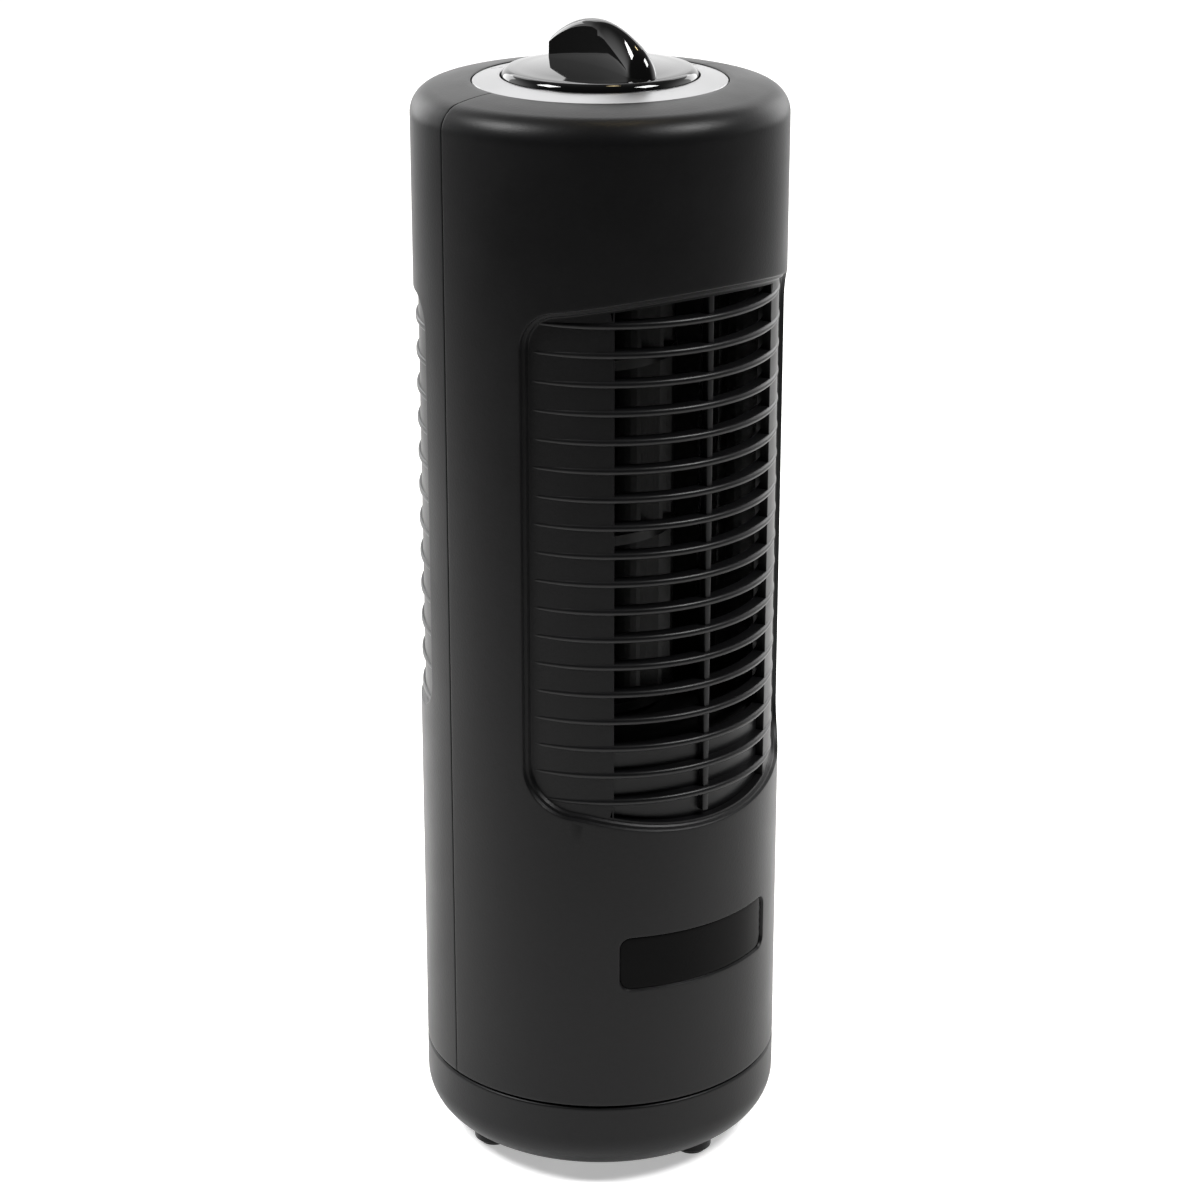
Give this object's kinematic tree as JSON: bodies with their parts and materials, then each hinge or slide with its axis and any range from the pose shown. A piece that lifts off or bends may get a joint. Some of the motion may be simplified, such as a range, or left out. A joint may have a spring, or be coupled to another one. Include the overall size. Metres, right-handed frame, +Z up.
{
  "type": "tower fan",
  "caption": "Small cylindrical tower fan on a swinging round base, with a slatted front outlet, a ribbed rear intake and a control dial with a grip on top.",
  "frame": {"origin": "on the table, under the middle of the base", "axes": "+Z up along the tower, the air leaves along -Y, +X to the right of the outlet seen from the front"},
  "size_m": [0.1, 0.1, 0.3173],
  "materials": {
    "body_plastic": "fine texture",
    "base_plastic": "fine texture",
    "inner_plastic": "moulded",
    "dial_plastic": "polished",
    "ring_metal": "satin",
    "foot_rubber": "matte",
    "gland_rubber": "matte",
    "wire_cover": "smooth",
    "screw_steel": "zinc plated",
    "shaft_steel": "ground",
    "core_steel": "stamped laminations",
    "can_steel": "zinc plated",
    "ballast_iron": "plain",
    "bearing_bronze": "sintered",
    "coil_copper": "enamelled wire",
    "bracket_metal": "die cast",
    "slide_plastic": "natural acetal",
    "switch_plastic": "moulded"
  },
  "bodies": {
    "base": {"base_shell": "base_plastic", "base_deck": "inner_plastic", "ballast_plate": "ballast_iron", "rubber_feet": "foot_rubber", "base_screws": "screw_steel", "cord_gland": "gland_rubber", "supply_wires": "wire_cover", "swing_motor": "can_steel", "swing_motor_screws": "screw_steel", "glide_ring": "slide_plastic", "pivot_retainer": "can_steel", "retainer_screws": "screw_steel"},
    "crank": {"swing_shaft": "shaft_steel", "crank_arm": "slide_plastic", "crank_roller": "slide_plastic"},
    "tower": {"tower_floor": "inner_plastic", "floor_screws": "screw_steel", "front_shell": "body_plastic", "rear_shell": "body_plastic", "shell_screws": "screw_steel", "badge_plate": "body_plastic", "motor_lower_bracket": "bracket_metal", "motor_upper_bracket": "bracket_metal", "stator_core": "core_steel", "field_coils": "coil_copper", "lower_bearing": "bearing_bronze", "upper_bearing": "bearing_bronze", "motor_bolts": "screw_steel", "duct_floor": "inner_plastic", "duct_roof": "inner_plastic", "air_scroll": "inner_plastic", "air_tongue": "inner_plastic", "top_bearing": "bearing_bronze", "wiring_harness": "wire_cover", "switch_plate": "inner_plastic", "switch_plate_screws": "screw_steel", "rotary_switch": "switch_plastic", "switch_nut": "screw_steel", "dial_ring": "ring_metal"},
    "impeller": {"impeller": "inner_plastic", "drive_hub": "gland_rubber", "motor_shaft": "shaft_steel", "motor_rotor": "core_steel", "top_stub_shaft": "shaft_steel"},
    "dial": {"control_dial": "dial_plastic", "switch_shaft": "shaft_steel"}
  },
  "joints": [
    {"name": "swing", "type": "hinge", "parent": "base", "child": "tower", "pos_m": [0, 0, 0.0255], "axis": [0, 0, 1], "range_deg": [-35, 35]},
    {"name": "crank_turn", "type": "hinge", "parent": "base", "child": "crank", "pos_m": [0, -0.024, 0.0245], "axis": [0, 0, 1], "range_deg": [-105, 105]},
    {"name": "impeller_spin", "type": "hinge", "parent": "tower", "child": "impeller", "pos_m": [-0.008, 0, 0.19], "axis": [0, 0, 1], "continuous": true},
    {"name": "dial_turn", "type": "hinge", "parent": "tower", "child": "dial", "pos_m": [0, 0, 0.3], "axis": [0, 0, 1], "range_deg": [-90, 90]}
  ],
  "couplings": [
    {"joint": "crank_turn", "follows": "swing", "ratio": 3}
  ]
}
